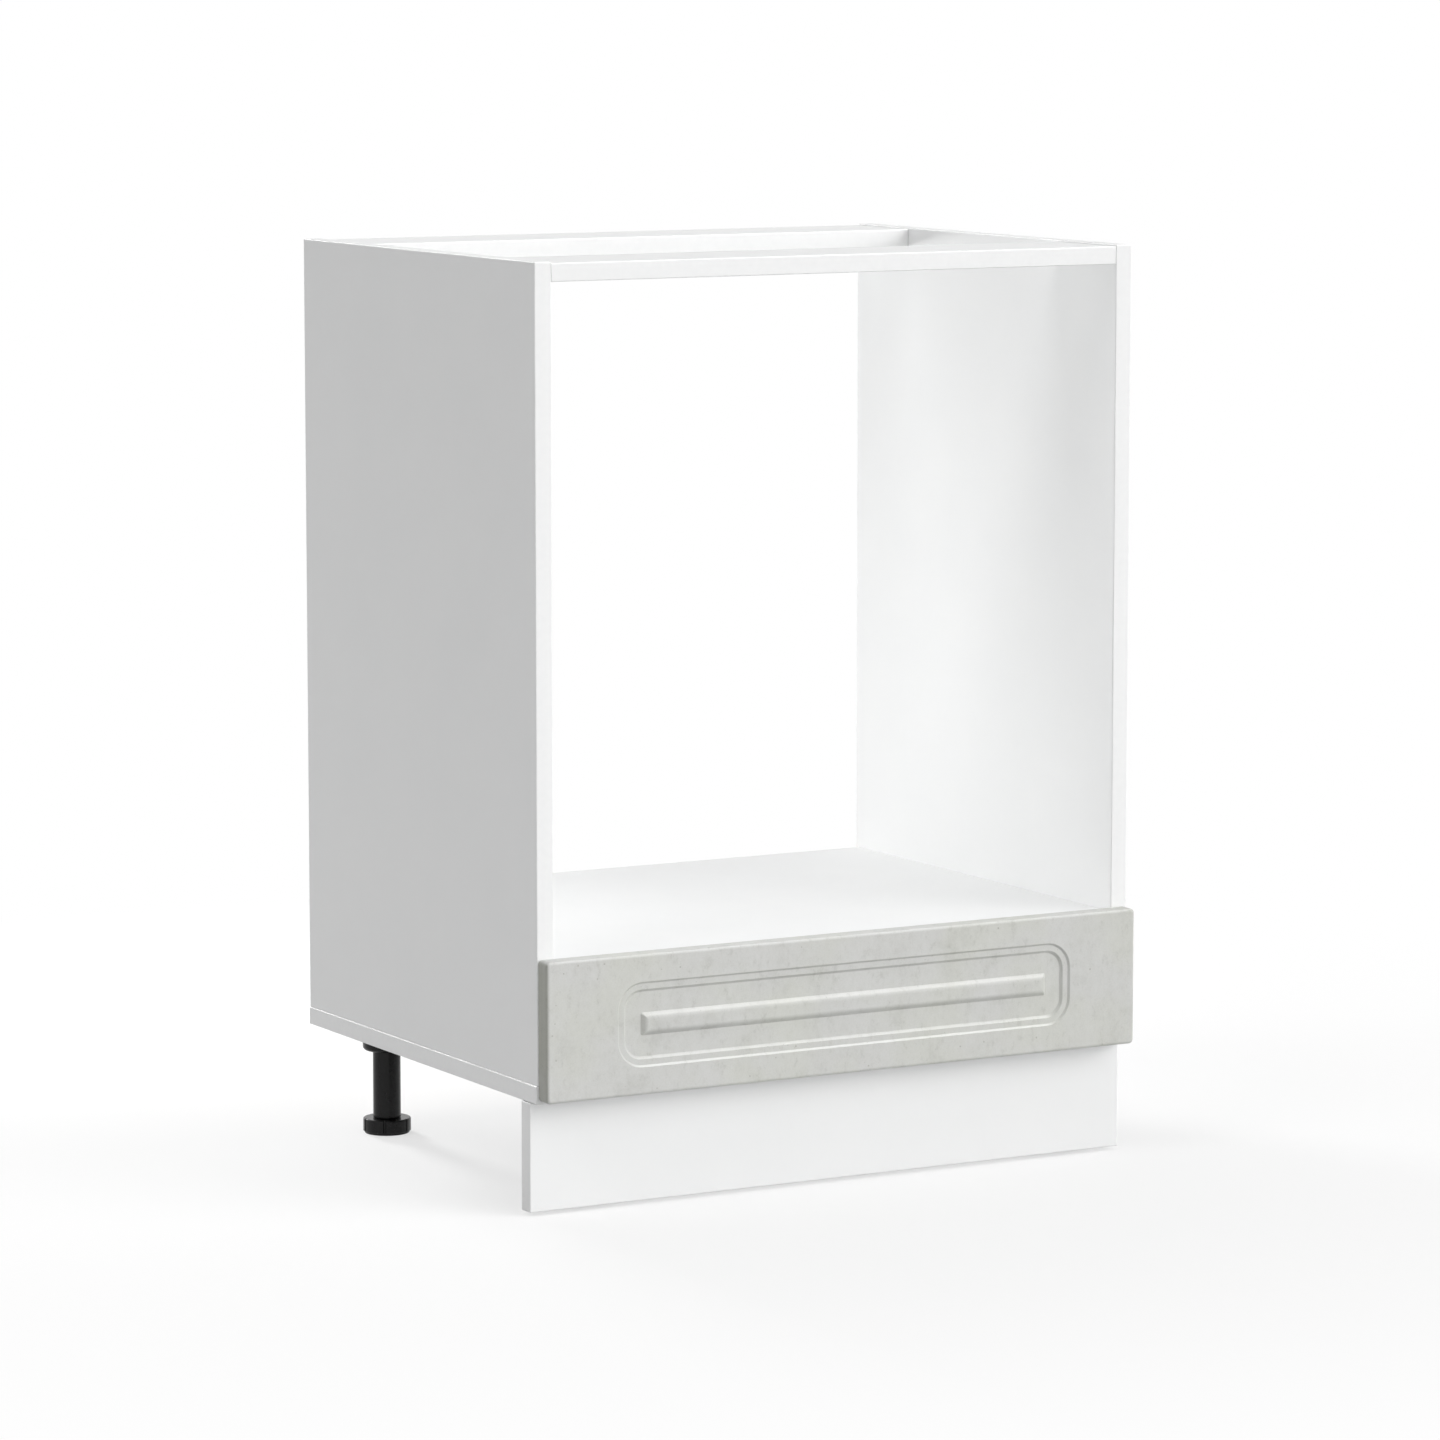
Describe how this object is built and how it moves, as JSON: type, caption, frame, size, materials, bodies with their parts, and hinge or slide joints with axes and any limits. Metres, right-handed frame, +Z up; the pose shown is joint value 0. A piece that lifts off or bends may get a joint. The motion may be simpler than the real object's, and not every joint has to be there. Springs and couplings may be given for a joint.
{
  "type": "oven housing unit",
  "caption": "Open white kitchen base unit for a built-in oven, with a low roller-runner drawer behind a milled grey front, a clip-on plinth and screw-adjustable legs.",
  "frame": {"origin": "on the floor, under the middle of the unit's outline: half-way between the outer ends of the bottom panel, and between the face of the drawer front and the back edges of the side panels", "axes": "+Z up; -Y towards the user, out of the drawer front; +X to the user's right"},
  "size_m": [0.6, 0.4666, 0.82],
  "materials": {
    "white_laminate": "chipboard with fine-textured matt white melamine and white edge band",
    "drawer_base_board": "white painted hardboard, brown below",
    "concrete_film": "milled fibreboard wrapped in matt light grey concrete-effect film",
    "black_plastic": "moulded black plastic, satin",
    "clip_plastic": "moulded milky plastic",
    "runner_steel": "white powder-coated rolled steel sheet",
    "roller_nylon": "moulded nylon",
    "zinc": "bright zinc"
  },
  "bodies": {
    "carcass": {"left_side": "white_laminate", "right_side": "white_laminate", "bottom_panel": "white_laminate", "oven_shelf": "white_laminate", "front_rail": "white_laminate", "rear_rail": "white_laminate", "leg_socket_front_left": "black_plastic", "leg_tube_front_left": "black_plastic", "leg_socket_front_right": "black_plastic", "leg_tube_front_right": "black_plastic", "leg_socket_rear_left": "black_plastic", "leg_tube_rear_left": "black_plastic", "leg_socket_rear_right": "black_plastic", "leg_tube_rear_right": "black_plastic", "cabinet_runner_left": "runner_steel", "side_screw_front_left": "zinc", "side_screw_rear_left": "zinc", "cam_front_rail_left": "zinc", "cam_bolt_front_rail_left": "zinc", "cam_rear_rail_left": "zinc", "cam_bolt_rear_rail_left": "zinc", "cam_shelf_front_left": "zinc", "cam_bolt_shelf_front_left": "zinc", "cam_shelf_rear_left": "zinc", "cam_bolt_shelf_rear_left": "zinc", "cabinet_runner_right": "runner_steel", "side_screw_front_right": "zinc", "side_screw_rear_right": "zinc", "cam_front_rail_right": "zinc", "cam_bolt_front_rail_right": "zinc", "cam_rear_rail_right": "zinc", "cam_bolt_rear_rail_right": "zinc", "cam_shelf_front_right": "zinc", "cam_bolt_shelf_front_right": "zinc", "cam_shelf_rear_right": "zinc", "cam_bolt_shelf_rear_right": "zinc"},
    "drawer": {"drawer_front": "concrete_film", "drawer_inner_front": "white_laminate", "drawer_side_left": "white_laminate", "drawer_side_right": "white_laminate", "drawer_back": "white_laminate", "drawer_base": "drawer_base_board", "drawer_runner_left": "runner_steel", "drawer_runner_right": "runner_steel", "front_screw_left": "zinc", "front_screw_right": "zinc"},
    "plinth": {"plinth_board": "white_laminate", "plinth_clip_left": "clip_plastic", "plinth_clip_right": "clip_plastic"},
    "foot_front_left": {"leg_foot_front_left": "black_plastic"},
    "foot_front_right": {"leg_foot_front_right": "black_plastic"},
    "foot_rear_left": {"leg_foot_rear_left": "black_plastic"},
    "foot_rear_right": {"leg_foot_rear_right": "black_plastic"},
    "roller_cabinet_left": {"cabinet_roller_left": "roller_nylon"},
    "roller_drawer_left": {"drawer_roller_left": "roller_nylon"},
    "roller_cabinet_right": {"cabinet_roller_right": "roller_nylon"},
    "roller_drawer_right": {"drawer_roller_right": "roller_nylon"}
  },
  "joints": [
    {"name": "drawer_slide", "type": "slide", "parent": "carcass", "child": "drawer", "axis": [0, -1, 0], "range_m": [0, 0.3]},
    {"name": "plinth_pull", "type": "slide", "parent": "carcass", "child": "plinth", "axis": [0, -1, 0], "range_m": [0, 0.06]},
    {"name": "foot_screw_front_left", "type": "slide", "parent": "carcass", "child": "foot_front_left", "axis": [0, 0, -1], "range_m": [0, 0.02]},
    {"name": "foot_screw_front_right", "type": "slide", "parent": "carcass", "child": "foot_front_right", "axis": [0, 0, -1], "range_m": [0, 0.02]},
    {"name": "foot_screw_rear_left", "type": "slide", "parent": "carcass", "child": "foot_rear_left", "axis": [0, 0, -1], "range_m": [0, 0.02]},
    {"name": "foot_screw_rear_right", "type": "slide", "parent": "carcass", "child": "foot_rear_right", "axis": [0, 0, -1], "range_m": [0, 0.02]},
    {"name": "cabinet_roller_spin_left", "type": "hinge", "parent": "carcass", "child": "roller_cabinet_left", "pos_m": [-0.27742, -0.20175, 0.1385], "axis": [1, 0, 0], "continuous": true},
    {"name": "drawer_roller_spin_left", "type": "hinge", "parent": "drawer", "child": "roller_drawer_left", "pos_m": [-0.27608, 0.16981, 0.1385], "axis": [1, 0, 0], "continuous": true},
    {"name": "cabinet_roller_spin_right", "type": "hinge", "parent": "carcass", "child": "roller_cabinet_right", "pos_m": [0.27742, -0.20175, 0.1385], "axis": [1, 0, 0], "continuous": true},
    {"name": "drawer_roller_spin_right", "type": "hinge", "parent": "drawer", "child": "roller_drawer_right", "pos_m": [0.27608, 0.16981, 0.1385], "axis": [1, 0, 0], "continuous": true}
  ],
  "couplings": [
    {"joint": "cabinet_roller_spin_left", "follows": "drawer_slide", "rad_per_m": 111.11},
    {"joint": "drawer_roller_spin_left", "follows": "drawer_slide", "rad_per_m": 111.11},
    {"joint": "cabinet_roller_spin_right", "follows": "drawer_slide", "rad_per_m": 111.11},
    {"joint": "drawer_roller_spin_right", "follows": "drawer_slide", "rad_per_m": 111.11}
  ]
}
